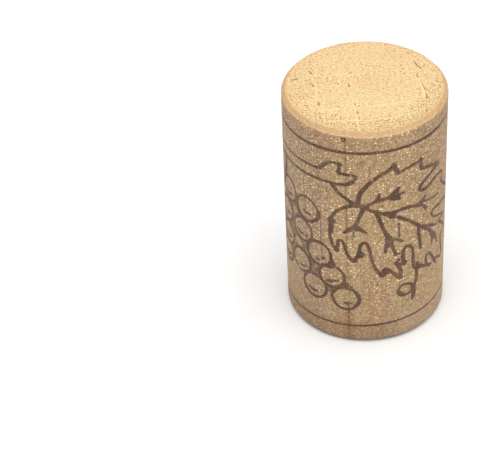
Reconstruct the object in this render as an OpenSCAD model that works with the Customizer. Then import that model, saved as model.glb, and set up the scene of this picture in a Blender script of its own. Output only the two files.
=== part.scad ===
// Turned wooden bottle stopper in the form of a wine cork.
// One solid cylinder, cut from the plank with its fibres along the axis.
// Each end is bevelled, and tumbling has eased the bevel's two edges.
// Millimetres. Origin at the centre of the lower end face, +Z up the axis.

/* [Shank] */
// Diameter of the shank, which grips the bottle neck
shank_d = 23.5; // [12:0.5:60]
// Length over both end faces
stopper_l = 38; // [12:1:120]

/* [Ends] */
// How far each bevel reaches in from the shank
bevel_in = 0.55; // [0.2:0.05:3]
// How far each bevel runs along the shank
bevel_run = 0.6; // [0.2:0.05:3]
// Radius that tumbling has left where the bevel meets the shank
shank_ease_r = 0.5; // [0.05:0.05:2]
// Radius that tumbling has left where the bevel meets the end face
face_ease_r = 0.25; // [0.05:0.05:2]

/* [Hidden] */

// Facets round the axis, and steps in each eased edge
round_fn = 192;
ease_steps = 5;

shank_r = shank_d / 2;
face_r = shank_r - bevel_in;
bevel_l = norm([bevel_in, bevel_run]);

function unit(v) = v / norm(v);

// Half of the angle that the path a-p-b makes at p
function half_angle(a, p, b) = acos(unit(a - p) * unit(b - p)) / 2;

// Largest radius that leaves half of the bevel to the easing of its other edge
function ease_limit(a, p, b) = bevel_l / 2 * tan(half_angle(a, p, b));

// Points of the arc that eases corner p of the anticlockwise path a-p-b
function eased(a, p, b, wanted_r) =
    let (
        half = half_angle(a, p, b),
        r = min(wanted_r, ease_limit(a, p, b)),
        to_a = unit(a - p),
        to_b = unit(b - p),
        centre = p + unit(to_a + to_b) * r / sin(half),
        first = p + to_a * r / tan(half) - centre,
        turn = 180 - 2 * half,
        from = atan2(first.y, first.x)
    )
    [for (i = [0:ease_steps])
        let (at = from + turn * i / ease_steps)
        centre + r * [cos(at), sin(at)]];

// Half section of the stopper, from the lower face's centre to the upper's
low_axis = [0, 0];
low_face = [face_r, 0];
low_shank = [shank_r, bevel_run];
high_shank = [shank_r, stopper_l - bevel_run];
high_face = [face_r, stopper_l];
high_axis = [0, stopper_l];

half_section = concat(
    [low_axis],
    eased(low_axis, low_face, low_shank, face_ease_r),
    eased(low_face, low_shank, high_shank, shank_ease_r),
    eased(low_shank, high_shank, high_face, shank_ease_r),
    eased(high_shank, high_face, high_axis, face_ease_r),
    [high_axis]
);

module stopper() {
    color([0.80, 0.66, 0.48])
        rotate_extrude($fn = round_fn)
            polygon(half_section);
}

stopper();
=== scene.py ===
"""A turned wooden bottle stopper in the form of a wine cork, with a vine ornament printed round it.

The stopper is one closed mesh. Its side is a flat sheet, triangulated along the printed lines and
rolled up; its ends are discs with the pits and cracks of end grain. Lengths are in millimetres, and
become metres where a mesh, a light or the camera is made.

On the side a place is (s, z): s is the way round, to the right of the line that faces -Y and as seen
from outside, and z is the height above the lower end face.
"""
import math

import bpy
import numpy as np
from mathutils import Matrix, Vector, geometry, noise
from mathutils.kdtree import KDTree


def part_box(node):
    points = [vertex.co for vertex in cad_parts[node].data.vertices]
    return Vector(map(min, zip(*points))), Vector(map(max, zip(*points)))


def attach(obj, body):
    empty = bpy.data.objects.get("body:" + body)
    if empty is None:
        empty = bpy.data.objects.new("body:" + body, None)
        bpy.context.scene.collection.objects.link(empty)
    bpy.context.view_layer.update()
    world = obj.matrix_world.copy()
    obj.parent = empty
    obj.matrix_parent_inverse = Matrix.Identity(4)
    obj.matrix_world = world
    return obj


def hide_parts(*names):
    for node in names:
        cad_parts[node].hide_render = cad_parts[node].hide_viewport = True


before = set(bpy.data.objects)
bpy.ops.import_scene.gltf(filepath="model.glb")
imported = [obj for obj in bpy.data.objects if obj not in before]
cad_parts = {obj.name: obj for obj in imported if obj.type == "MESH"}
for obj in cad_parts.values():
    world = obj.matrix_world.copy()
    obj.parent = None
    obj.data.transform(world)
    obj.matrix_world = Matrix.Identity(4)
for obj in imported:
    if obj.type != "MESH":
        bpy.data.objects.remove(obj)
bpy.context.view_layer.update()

MM = 0.001
NODE = "stopper"

# The stopper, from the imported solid
low_corner, high_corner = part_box(NODE)
LENGTH = (high_corner.z - low_corner.z) / MM
RADIUS = (high_corner.x - low_corner.x) / 2 / MM
ROUND = 2 * math.pi * RADIUS

# The bevels, as in the solid
BEVEL_IN = 0.55
BEVEL_RUN = 0.6
SHANK_EASE = 0.5
FACE_EASE = 0.25

# Mesh steps
COLUMNS = 384
EASE_STEPS = 4
BEVEL_STEPS = 3
SIDE_STEP = 0.55
INK_STEP = 0.17
PATCH_STEP = 0.24
FACE_STEP = 0.2
JITTER = 0.12

# How close the points along the lines may lie to each other, on the side and on an end
SIDE_CLOSEST = 0.06
FACE_CLOSEST = 0.05
# How far off a line the points just outside it lie, and how far round it its depth is worked out
SKIRT = 0.16
REACH = 0.9
# Stands in for a length of nothing where it is divided by
TINY = 1e-9
# Points closer to each other than this become one
MERGED = 1e-6
# Makes one number of a square's column and row
COLUMN_KEY = 1_000_003
# How many places are set against a shape at once, so that memory lasts
AT_ONCE = 4000
# How far the even grid keeps off the print, the sheet's border, the rim, the pores and the cracks
OFF_PRINT = 0.3
OFF_SEAM = 0.1
OFF_RIM = 0.09
OFF_PORE = 0.18
OFF_CRACK = 0.14


# ---------------------------------------------------------------- curves and distances

def curve(points, step=INK_STEP):
    """Points about a step apart on the smooth curve through the given ones."""
    p = np.array(points, float)
    p = np.vstack([2 * p[0] - p[1], p, 2 * p[-1] - p[-2]])
    made = []
    for a, b, c, d in zip(p[:-3], p[1:-2], p[2:-1], p[3:]):
        count = max(2, int(np.linalg.norm(c - b) / step + 1))
        t = np.linspace(0, 1, count, endpoint=False)[:, None]
        bend = 2 * b + (c - a) * t + (2 * a - 5 * b + 4 * c - d) * t**2 + (3 * b - a - 3 * c + d) * t**3
        made.append(bend / 2)
    made.append(p[-2:-1])
    return np.vstack(made)


def along(path):
    """How far along a path each of its points is."""
    return np.r_[0, np.cumsum(np.linalg.norm(np.diff(path, axis=0), axis=1))]


def beside(at, a, b):
    """For each place and each segment a-b: how far along it the place is, as a share, and how far off."""
    way = b - a
    off = at[:, None] - a
    share = ((off * way).sum(2) / np.maximum((way**2).sum(1), TINY)).clip(0, 1)
    return share, np.linalg.norm(off - share[..., None] * way, axis=2)


class Line:
    """A pen line: its path, and half its width at each point of the path."""

    holes = ()

    def __init__(self, path, half):
        self.path = path
        self.half = half

    def box(self):
        margin = self.half.max() + REACH
        return self.path.min(0) - margin, self.path.max(0) + margin

    def depth(self, at):
        """How deep each place lies inside the line. Outside it is below zero."""
        share, gap = beside(at, self.path[:-1], self.path[1:])
        half = self.half[:-1] + (self.half[1:] - self.half[:-1]) * share
        return (half - gap).max(1)

    def mesh_points(self):
        """Points on the line's middle, on its two edges and just outside them."""
        way = np.gradient(self.path, axis=0)
        side = np.c_[-way[:, 1], way[:, 0]] / np.maximum(np.linalg.norm(way, axis=1), TINY)[:, None]
        half = self.half[:, None]
        rows = [self.path]
        for out in (half, half + SKIRT):
            rows += [self.path + side * out, self.path - side * out]
        return np.vstack(rows)


class Patch(Line):
    """A filled outline, with round holes that stay bare."""

    def __init__(self, corners, holes=()):
        super().__init__(np.array(corners, float), np.zeros(1))
        self.holes = holes

    def depth(self, at):
        a = self.path
        b = np.roll(a, -1, axis=0)
        gap = beside(at, a, b)[1].min(1)
        way, off = b - a, at[:, None] - a
        up = (a[:, 1] <= at[:, 1:]) & (b[:, 1] > at[:, 1:])
        down = (a[:, 1] > at[:, 1:]) & (b[:, 1] <= at[:, 1:])
        left = way[:, 0] * off[..., 1] - way[:, 1] * off[..., 0]
        winding = (up & (left > 0)).sum(1) - (down & (left < 0)).sum(1)
        depth = np.where(winding != 0, gap, -gap)
        for middle, radius in self.holes:
            depth = np.minimum(depth, np.linalg.norm(at - middle, axis=1) - radius)
        return depth

    def mesh_points(self):
        low, high = self.path.min(0), self.path.max(0)
        s, z = np.meshgrid(np.arange(low[0], high[0], PATCH_STEP), np.arange(low[1], high[1], PATCH_STEP))
        inner = np.c_[s.ravel(), z.ravel()]
        return inner[self.depth(inner) > -PATCH_STEP]


def stroke(points, *widths):
    """A pen line through some points. Its width runs evenly from its first value to its last."""
    path = curve(points)
    far = along(path)
    places = np.linspace(0, far[-1], len(widths)) if len(widths) > 1 else [0]
    return Line(path, np.interp(far, places, widths) / 2)


# How much wider an oval's line is at its heavy side
HEAVY = 0.16


def oval(middle, radii, width, heavy_at):
    """A closed oval pen line. The way from its middle to its heavy side is in degrees."""
    turn = np.linspace(0, 2 * math.pi, int(2 * math.pi * max(radii) / INK_STEP) + 1)
    more = HEAVY * (1 + np.cos(turn - math.radians(heavy_at))) / 2
    return Line(np.array(middle) + np.c_[np.cos(turn), np.sin(turn)] * radii, (width + more) / 2)


def drawn(rows, lay=list):
    """Pen lines from rows of points and widths. A row without a width is a filled outline."""
    return [stroke(lay(points), *widths) if widths else Patch(lay(points)) for points, *widths in rows]


# ---------------------------------------------------------------- the print

# The rings above and below the vine: the height, skew and width, and then where they are heavier: the way
# round, how far it reaches and how much wider it is
TOP_RING = (34.75, 0.22, 0.34)
TOP_HEAVY = [(-6.5, 2.6, 0.1), (-1.2, 1.6, 0.05), (9, 3.4, 0.12), (24, 6, 0.12), (-27, 5, 0.1)]
LOW_RING = (3.3, 0.42, 0.25)
LOW_HEAVY = [(0, 3, 0.02)]
RING_POINTS = 400


def level_line(z, skew, width, heavy):
    """A ring round the stopper. It lies a little skew, and is heavier about certain places."""
    s = np.linspace(-ROUND / 2, ROUND / 2, RING_POINTS)
    half = width / 2 + sum(more / 2 * np.exp(-(((s - at) / reach) ** 2)) for at, reach, more in heavy)
    return Line(np.c_[s, z + skew * np.sin(s / RADIUS)], half)


# The bunch and the second leaf are drawn on a sheet of their own, which these values lay on the stopper
SHEET_SHIFT = (-11.25, 0.12)
SHEET_SCALE = 0.97
SHEET_SLOPE = -0.025


def laid(points):
    """Points on the side from those on the sheet."""
    return [(s + SHEET_SHIFT[0], z * SHEET_SCALE + SHEET_SLOPE * s + SHEET_SHIFT[1]) for s, z in points]


# In the lists below each row is one pen line: its points, and then its widths from the first point to the
# last. A row that has no width is a filled outline.

# The cut end of the cane, at the right of its two long lines
CANE_END = [
    ([(-7.4, 31.15), (-6.75, 31.3), (-6.05, 32.05), (-5.25, 32.75)], 0.42, 0.58, 0.38),
    ([(-5.25, 32.75), (-4.6, 32.9), (-3.7, 32.75)], 0.32, 0.42),
    ([(-3.8, 32.8), (-3.6, 32.72)], 0.6),
    ([(-3.68, 32.75), (-3.72, 32.1), (-3.78, 31.4)], 0.45, 0.45),
    ([(-3.8, 31.4), (-3.7, 31.3)], 0.62),
    ([(-3.7, 31.3), (-2.6, 31.14), (-1.4, 31.08)], 0.4, 0.35),
    ([(-1.42, 31.05), (-1.38, 30.75), (-1.65, 30.25), (-2.15, 29.7)], 0.4, 0.56),
    ([(-2.1, 29.68), (-2.8, 29.42), (-4, 29.32), (-5, 29.28)], 0.56, 0.36, 0.34),
]
# The cane's two long lines: the points on the sheet, the last ones on the side itself, and the widths
CANE = [
    ([(-24.4, 31.3), (-23.4, 32.2), (-22.2, 32.6), (-21, 32.2), (-20, 31.7), (-18, 31.35), (-14, 31.4),
      (-8, 31.5), (-3, 31.65)],
     [(-12, 30.95), (-9.5, 31.05), (-7.4, 31.15)], 0.42, 0.42, 0.45, 0.36, 0.3, 0.3),
    ([(-24.5, 29.3), (-21.5, 29.3), (-19.5, 29.3), (-18, 29.15), (-16, 29.25), (-13.5, 29.4), (-11.5, 29.4),
      (-10, 29.55), (-5, 29.65)],
     [(-13.5, 29.15), (-10, 29.2), (-7, 29.3), (-5, 29.3)], 0.32, 0.34, 0.5, 0.42, 0.3, 0.34),
]
# On the sheet: two marks on the lower line, and the cane's left end
CANE_MARKS = [
    ([(-15.8, 29.35), (-13.6, 29.45), (-11.7, 29.45)], 0.5, 0.8, 0.6),
    ([(-18.2, 29.55), (-17.2, 29.5), (-16.2, 29.6)], 0.2),
    ([(-24.4, 31.3), (-26.2, 31.1), (-28.6, 31.2), (-30.6, 30.8), (-31.4, 30.2)], 0.42, 0.34),
    ([(-31.4, 30.2), (-31, 29.6), (-29.6, 29.4), (-27, 29.3), (-24.5, 29.3)], 0.34, 0.32),
]
FIRST_LEAF_OUTLINE = [
    ([(-1, 26), (-1, 27.2), (-0.55, 28.4), (0.7, 30), (2, 31), (3.15, 31.65), (4.05, 32.5)], 0.6, 0.66,
      0.54, 0.48, 0.55),
    ([(4.02, 32.5), (4.28, 31.65), (4.6, 30.85)], 0.6, 0.7),
    ([(4.7, 30.9), (6.3, 31.35), (8.4, 31.7)], 0.48, 0.34, 0.52),
    ([(8.4, 31.75), (8.4, 31), (8.55, 30.1)], 0.8, 0.62, 0.62),
    ([(8.6, 30.1), (9.8, 29.8), (11.2, 29.4), (12.6, 28.8)], 0.55, 0.44, 0.6),
    ([(12.6, 28.8), (11.2, 28.5), (9.9, 28), (8.88, 27.48), (8.36, 27), (8.45, 26.45), (9.2, 26.2),
      (10.3, 26.36), (11.1, 26.72), (12.2, 26.85), (13.3, 26.75), (14, 26.5)], 0.62, 0.42, 0.56, 0.52,
      0.36),
    ([(14, 26.5), (13.85, 25.7), (13.5, 25.1)], 0.42),
    ([(13.5, 25.1), (14.3, 24.2), (15, 23.5), (15.8, 22.8), (17.2, 21.9), (18.8, 21.3)], 0.46, 0.36),
    ([(18.8, 21.3), (17.4, 20.5), (15.9, 20.3), (15, 20.8), (13, 21.15), (11.6, 21.3), (10.95, 20.9),
      (11.2, 20.3), (11.9, 19.65), (13, 19.2), (14.2, 18.6), (15.2, 17.9)], 0.36, 0.42, 0.3, 0.36),
    ([(15.2, 17.9), (14.2, 18.1), (13, 18)], 0.3),
    ([(13, 18), (14, 17.2), (15, 16.3), (15.8, 15.2)], 0.36, 0.42),
    ([(15.8, 15.2), (14.9, 14.95), (14, 14.8)], 0.36),
    ([(14, 14.8), (14.1, 13.6), (14.3, 12.4), (14.6, 11.3), (14.3, 10.6)], 0.36, 0.32),
    ([(14.3, 10.6), (13.2, 11.3), (12, 11.8)], 0.4),
    ([(12.4, 10.8), (11.8, 11.8), (11.3, 12.8), (10.8, 13.6), (10.2, 13.8), (9.88, 13.3), (9.92, 12.6),
      (10.05, 12.05), (10.6, 11.6)], 0.42, 0.4, 0.36, 0.42),
    ([(10.8, 11.4), (9.9, 11.9), (9, 12.3), (8.2, 12.9)], 0.4, 0.6),
    ([(8.15, 13.4), (8.15, 12.5)], 0.6, 1),
    ([(8, 12.4), (7.5, 13), (7.3, 14), (7.3, 15.2), (7.15, 16.3), (6.8, 17.1), (6.18, 17.45), (5.68, 16.95),
      (5.54, 15.8), (5.65, 14.9), (5.82, 14.5)], 0.5, 0.5, 0.42, 0.52, 0.62),
    ([(5.88, 14.55), (5.8, 14.4)], 0.7),
    ([(4.8, 14.6), (5.4, 14.4), (5.9, 14.2)], 0.4),
    ([(4.42, 14.95), (4.74, 14.4), (5.06, 13.8), (5.22, 12.9), (5.26, 11.9)], 0.5, 0.6, 0.45),
    ([(3.1, 13.6), (3.55, 13.4)], 0.45),
    ([(5.25, 11.85), (4.5, 12.6), (3.7, 13.5), (3.1, 14.1), (2.8, 14.2), (2.5, 13.6), (2.3, 13)], 0.6, 0.45,
      0.5),
    ([(2.65, 13.5), (2.35, 13.1)], 0.95, 0.8),
    ([(2.3, 13.05), (1.75, 13.85), (1.25, 14.85), (0.9, 15.9), (0.72, 17), (0.52, 18.2), (0.2, 19),
      (-0.25, 19.3), (-0.72, 18.9), (-0.9, 18), (-1.05, 17.2), (-1.35, 16.55), (-1.6, 15.95)], 0.42, 0.34,
      0.42, 0.42, 0.5),
    ([(-1.35, 16.45), (-0.2, 16.72), (-0.42, 17.4), (-0.75, 18.3)],),
    ([(-1.5, 16.15), (-1.5, 15.95)], 0.62),
    ([(-1.6, 15.8), (-2.3, 16.4), (-2.8, 17.5), (-3.1, 18.7), (-3.5, 19.35), (-3.9, 19.2), (-4.1, 18.3),
      (-4.2, 17.4)], 0.5, 0.36, 0.45, 0.5),
    ([(-4.45, 17.9), (-4.2, 17.5)], 0.76),
    ([(-4.2, 17.35), (-4.8, 18.2), (-5.15, 19.4), (-5.22, 20.8), (-5.08, 22.3), (-4.85, 23.4),
      (-4.25, 24.42), (-3.3, 25.2), (-2.2, 25.7), (-1, 25.9)], 0.5, 0.46, 0.5, 0.4, 0.46),
    ([(-5.25, 22.7), (-4.6, 22.58)], 0.66),
    ([(-4.8, 22.4), (-4.9, 21.4), (-5.05, 20.4)], 0.42, 0.36),
    ([(-1.8, 26.1), (0.1, 25.65)], 0.6, 0.7),
    ([(-4.78, 29.15), (-4.28, 28.38), (-3.66, 27.7), (-2.68, 26.98), (-1.7, 26.36), (-0.8, 25.95)], 0.6,
      0.5, 0.36, 0.45),
]
FIRST_LEAF_VEINS = [
    ([(-0.3, 25.75), (0.5, 26.15), (1.3, 26.52), (2.2, 26.78), (3.3, 26.93)], 0.38, 0.52, 0.4),
    ([(1.4, 26.6), (1.75, 27.2), (1.98, 27.9)], 0.54, 0.28),
    ([(3, 26.98), (3.75, 27.75), (4.62, 28.5), (5, 28.42), (4.72, 27.65), (4.5, 27.3), (5.75, 27.45),
      (5.78, 27.12), (4.95, 26.98), (5.08, 26.22), (4.2, 26.28), (3.5, 26.45)],),
    ([(-0.2, 25.55), (0.55, 25.15), (1.4, 24.72), (2.2, 24.38), (4, 24.28), (6, 24.36), (7.2, 24.15),
      (8.6, 24.15), (10.3, 23.75), (12.7, 23.3)], 0.38, 0.5, 0.36, 0.4, 0.3, 0.26),
    ([(2.2, 24.42), (4.7, 24.35), (4.45, 23.85), (4.15, 23.2), (3.5, 23.22), (3, 23.8), (2.5, 23.95)],),
    ([(7.75, 24.02), (8.35, 23.75)], 0.55, 0.5),
    ([(5.2, 24.4), (6.6, 24.35)], 0.5),
    ([(7.9, 24.2), (8.8, 24.4), (9.4, 24.8)], 0.4, 0.42),
    ([(8, 24.1), (8.7, 23.7), (9.2, 23.1), (9.7, 22.5)], 0.5, 0.42, 0.45),
    ([(4.65, 23.2), (5.8, 22.4), (6.9, 21.5), (7.8, 20.6), (8.6, 19.85), (9.4, 19.1), (10.5, 18.1),
      (11.4, 16.9), (12.1, 15.8), (12.7, 14.5)], 0.5, 0.36, 0.5, 0.5, 0.5, 0.3),
    ([(10.9, 17.1), (11.9, 16.3)], 0.55, 0.85),
    ([(11.4, 16.4), (11.2, 15.3)], 0.5, 0.4),
    ([(9, 19.6), (10.5, 18.95), (12.3, 17.9)], 0.5, 0.36),
    ([(8.15, 20.2), (8.28, 18.6), (8.52, 17), (8.7, 15.85)], 0.45, 0.55, 0.4),
    ([(11.4, 16.5), (11.55, 15.95)], 0.5, 0.4),
    ([(1.5, 24.75), (1.8, 23.8), (2.18, 22.6), (2.58, 21.4), (2.98, 20.3), (3.25, 19.6)], 0.62, 0.45, 0.5),
    ([(3.1, 20.5), (3.6, 19.9)], 0.5, 0.45),
    ([(2.9, 20.3), (3.7, 19.9), (4.05, 19), (3.9, 18.3), (3.3, 18.1), (2.85, 18.4), (2.8, 19.3)],),
    ([(3.05, 18.6), (2.9, 17.9), (2.9, 17.3)], 0.55, 0.4),
    ([(3.75, 18.5), (4.12, 17.4), (4.42, 16.4)], 0.5, 0.42),
    ([(4.86, 16.55), (4.94, 16.5)], 0.3),
    ([(4.84, 15.4), (4.82, 15.25)], 0.36),
    ([(3.8, 19.5), (4.7, 19.1), (5.45, 18.6)], 0.36, 0.4),
    ([(-0.34, 25.4), (-0.71, 24.34), (-1.14, 23.3), (-1.5, 22.2)], 0.6, 0.46, 0.52),
    ([(-1.3, 22.8), (-1, 22), (-1.3, 21.45), (-1.9, 21.55), (-2.3, 21.8), (-1.8, 22.3)],),
    ([(-1.7, 21.95), (-2.4, 21.45), (-3.1, 20.88)], 0.8, 0.6, 0.36),
    ([(-1.2, 21.9), (-0.6, 21.6), (0.1, 21.12)], 0.7, 0.6, 0.32),
    ([(-1.72, 21.2), (-1.78, 20.5), (-1.82, 19.8)], 0.18, 0.24, 0.16),
    ([(4.8, 21.9), (4.9, 20.5), (4.95, 19.6)], 0.24, 0.16, 0.26),
]
# The stem below the first leaf, with its loop
TENDRIL = [
    ([(7.95, 12.4), (8, 11.4), (7.85, 10.2), (7.6, 9.4)], 0.5, 0.45),
    ([(7.5, 9.6), (7.45, 8.4), (7.35, 7.1)], 0.5, 0.8, 0.66),
    ([(7.3, 9.7), (6.6, 10.25), (5.7, 10.42), (5.05, 10.08), (4.86, 9.35), (5.08, 8.72), (5.62, 8.42),
      (6.3, 8.38), (6.9, 8.55)], 0.42, 0.28, 0.36, 0.4, 0.34),
    ([(5.15, 9.15), (5.5, 8.78)], 0.42),
    ([(7.05, 9.5), (7.1, 8.9)], 0.4),
]
# Each grape's middle and radius, on the sheet
GRAPES = [
    (-6.85, 25.1, 2.05), (-2.45, 24.35, 2), (1.95, 23.5, 2.1), (-7.95, 20.75, 2),
    (-3.55, 19.95, 1.95), (0.9, 19.1, 2), (-11.5, 20.1, 1.9), (-7.6, 16.8, 1.9),
    (-7.85, 13, 1.95), (-3.3, 15.6, 1.85), (-3.7, 12.1, 1.85), (0.5, 13, 2),
    (4.1, 16.3, 2.1), (3.15, 9.65, 2.1), (6.15, 12.8, 2), (8.3, 9.05, 2.05),
]
# How high a grape is for its width, and how wide its line is
GRAPE_HEIGHT = 0.99
GRAPE_WIDTH = 0.3
# The heavy side of the first grape, in degrees, and how much further round that of the next one is
HEAVY_FROM = 60
HEAVY_NEXT = 97
# The outer grapes, in the order in which they bound the inked ground, and how far it runs under their lines
OUTER_GRAPES = [0, 1, 2, 5, 12, 14, 15, 13, 11, 10, 8, 7, 6, 3]
GRAPE_EDGE = 0.1
# Bare spots in the ground: the middle and the radius of each
BARE_SPOTS = [((-5.3, 22.35), 0.75), ((-0.8, 21.6), 0.56), ((-0.15, 16.1), 0.75), ((-9.7, 17.9), 0.35)]
# A short line of shade in each grape
SHADES = [
    [(-7.5, 24.4), (-6.8, 24.2), (-5.8, 24.55)], [(-3.4, 23.6), (-2.8, 23.3), (-1.7, 23.7)],
    [(1.4, 22.95), (1.9, 22.72), (2.65, 22.85)], [(-8.8, 20.2), (-8.2, 19.9), (-7.1, 20.1)],
    [(-4.4, 19.5), (-3.8, 19.2), (-2.7, 19.4)], [(-0.2, 18.6), (0.7, 18.2), (1.7, 18.25)],
    [(-11.9, 19.2), (-11.3, 18.95), (-10.6, 19.1)], [(-8.2, 16.2), (-7.5, 16), (-6.8, 16.3)],
    [(-8.5, 12.6), (-7.7, 12.3), (-6.9, 12.5)], [(-4, 15.2), (-3.3, 14.9), (-2.4, 15.2)],
    [(-4.4, 11.3), (-3.6, 11.2), (-2.6, 11.7)], [(0.3, 12), (0.9, 12), (1.7, 12.4)],
    [(3.72, 15.2), (4.12, 15.05)], [(2.2, 8.9), (2.8, 8.6), (3.7, 8.7)],
    [(5.5, 11.7), (6.1, 11.8), (6.9, 12.1)], [(8.15, 8.2), (8.55, 8.15), (8.95, 8.25)],
]
SHADE_WIDTHS = (0.36, 0.42, 0.3)
# On the sheet: the stems between the grapes, and those that the bunch hangs from
STEMS = [
    ([(3.7, 24.75), (4.12, 24), (4.12, 23.2), (3.85, 22.3)], 0.3, 0.5, 0.52, 0.4),
    ([(4.9, 14.35), (5.6, 14.35), (6.2, 14.5)], 0.4),
    ([(4.8, 15.65), (5, 15.85)], 0.3),
    ([(5.95, 17.2), (6.15, 16.5), (6.05, 15.7)], 0.34),
    ([(9.6, 10.5), (10.2, 9.5), (10.15, 8.4), (9.5, 7.5)], 0.22, 0.44, 0.48, 0.36),
    ([(6.15, 16.3), (6.6, 15.6), (6.85, 14.95), (6, 14.9)],),
    ([(7.85, 11.9), (8.35, 12.25), (8.75, 11.75), (9.4, 11.4), (9, 10.95), (7.95, 11.1)],),
    ([(-3.5, 29.7), (-3.5, 28.4), (-3.6, 27.4), (-3.9, 26.4)], 0.8, 0.85, 1.05),
    ([(-9.3, 29.5), (-8.8, 28.4), (-8.3, 27.4), (-8.3, 26.6)], 0.5, 0.36, 0.5),
    ([(-8.2, 27.3), (-7.3, 27.45), (-6, 27.25)], 0.26),
]
# The small curl below the bunch, on the sheet: its loop (middle, radii, width, heavy side) and the rest
CURL_LOOP = ((-9.45, 8.35), (1, 1), 0.42, 200)
CURL = [
    ([(-8.5, 8.3), (-8, 8.8), (-7.8, 9.6), (-8, 10.8)], 0.6, 0.45),
    ([(-7.9, 9.4), (-7.7, 8.3), (-7.2, 6.7)], 0.5, 0.32),
]
# The second leaf, on the sheet: first its right half and then its left
SECOND_LEAF_OUTLINE = [
    ([(-19.1, 25.3), (-18.2, 25.45), (-17.5, 25.75), (-16, 25.85), (-13.8, 25.85), (-12.4, 25.95)], 0.6,
      0.36, 0.36, 0.4),
    ([(-12.6, 26), (-12.9, 25.3), (-13.2, 24.7)], 0.5, 0.9, 0.6),
    ([(-13.2, 24.6), (-12.2, 24), (-11.6, 23.2), (-10.9, 22.1)], 0.36, 0.5),
    ([(-12, 18.1), (-11.8, 16.9), (-11.8, 15.9)], 0.36),
    ([(-12.5, 15.8), (-11.8, 15.7), (-11, 15.7)], 0.45, 0.75, 0.36),
    ([(-12.1, 15.5), (-11.9, 13.8), (-12, 12.2)], 0.5, 0.36, 0.5),
    ([(-12, 12.2), (-12.8, 13), (-13.8, 13.3)], 0.55, 0.4),
    ([(-13.9, 13.2), (-14.1, 14), (-14.6, 15), (-15.2, 15.9), (-15.9, 16.2), (-16.5, 15.7), (-16.5, 14.5),
      (-16.1, 13.3), (-15.8, 12.8)], 0.66, 0.5, 0.42, 0.42, 0.5),
    ([(-15.3, 12.2), (-15.15, 10.8), (-15.2, 9.4), (-15.3, 8.2)], 0.26, 0.34, 0.42),
    ([(-15, 12), (-14.6, 11.4), (-14.1, 10.8)], 0.26, 0.36),
    ([(-15.4, 7.8), (-16.2, 8.6), (-16.8, 9.4), (-16.9, 10)], 0.6, 0.4, 0.34),
    ([(-16.9, 10), (-17.2, 8.8), (-17.8, 7.9), (-18.5, 7.4), (-19, 6.4), (-19.5, 5.3)], 0.34, 0.4, 0.5,
      0.66),
    ([(-19.5, 5.3), (-20.2, 6.4), (-20.8, 7.8), (-21.1, 8.4)], 0.6, 0.42),
    ([(-21.1, 8.4), (-21.6, 7.7), (-21.8, 7)], 0.42, 0.6),
    ([(-21.8, 7), (-22.3, 8.1), (-22.7, 9.2), (-22.9, 9.9)], 0.5, 0.42),
    ([(-22.9, 9.9), (-23.5, 9.4), (-24.4, 8.9)], 0.42),
    ([(-24.4, 8.9), (-24.8, 10), (-24.8, 11.3), (-24.3, 12.4), (-24, 13.3), (-23.6, 14.3), (-23.3, 15.2),
      (-23.5, 15.9), (-24, 16), (-24.6, 15.4), (-25.2, 14.4), (-25.6, 13.2)], 0.36, 0.36, 0.42, 0.42, 0.5),
    ([(-25.6, 13.2), (-26.6, 12.4), (-27, 12.2)], 0.42, 0.5),
    ([(-27, 12.2), (-27, 14.2), (-26.5, 15.8), (-27.4, 16.6)], 0.42, 0.36),
    ([(-27.4, 16.6), (-26.9, 18.4), (-25.9, 20), (-27.7, 21.9)], 0.36, 0.45),
    ([(-27.7, 21.9), (-26.7, 23.6), (-25.3, 24.8), (-25.8, 26)], 0.42, 0.36),
    ([(-25.8, 26), (-24.6, 26.5), (-23.3, 26.7), (-21.9, 26.4), (-20.7, 25.8), (-19.5, 25.2)], 0.36, 0.5,
      0.42, 0.4),
]
SECOND_LEAF_VEINS = [
    ([(-19.2, 28.9), (-19.1, 27), (-19.2, 25.5), (-19.1, 24), (-19.2, 21), (-19.5, 18), (-19.4, 15)], 0.6,
      0.5, 0.8, 0.9, 0.56, 0.42, 0.6),
    ([(-19.5, 14.6), (-19.4, 11.5), (-19.3, 8.6)], 0.5, 0.4, 0.42),
    ([(-19.4, 15.9), (-18.9, 15), (-18.4, 14.2), (-19.4, 14.1), (-20.4, 14.2), (-19.8, 15)],),
    ([(-25.2, 23.2), (-22.5, 23.6), (-20.5, 23.7), (-19.2, 23.4)], 0.34, 0.5, 0.62),
    ([(-19.2, 23.45), (-17.5, 23.55), (-16, 23.5), (-14.6, 23), (-13.1, 22.4)], 0.7, 0.45, 0.6, 0.3),
    ([(-15.9, 23.7), (-15.4, 24.1), (-14.9, 24.4)], 0.42, 0.3),
    ([(-19.3, 20.6), (-18.4, 20.85), (-17.4, 20.5), (-16.6, 19.7)], 0.45, 0.5),
    ([(-16.8, 19.5), (-15.4, 19.5), (-14, 19.7), (-13.2, 20)], 0.8, 0.5, 0.36),
    ([(-16.5, 19.4), (-16.3, 18.5), (-16.2, 17.6)], 0.6, 0.36),
    ([(-15.9, 19.4), (-14.8, 18.5), (-14.1, 17.6), (-13.6, 16.7)], 0.5, 0.36),
    ([(-19.2, 20.7), (-20.5, 20.1), (-21.6, 19.5), (-23, 18.4), (-24.6, 17.8)], 0.5, 0.6, 0.36),
    ([(-21.2, 19.8), (-22.2, 20.5), (-23.1, 21.2), (-24.2, 21.6)], 0.45, 0.36),
    ([(-22.7, 18.4), (-22.8, 16.8), (-23.1, 15.6)], 0.4, 0.3),
    ([(-19.8, 14.8), (-21, 13.7), (-22.8, 12.3)], 0.5, 0.3),
    ([(-20.8, 13.9), (-21.3, 12.6), (-21.8, 11.2)], 0.5, 0.45),
    ([(-19.1, 15.2), (-18.2, 13.9), (-17.3, 12.6), (-16.5, 11.1)], 0.5, 0.36),
    ([(-17.4, 12.7), (-16.9, 12.4), (-16.3, 12.2)], 0.4, 0.3),
]


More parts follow.
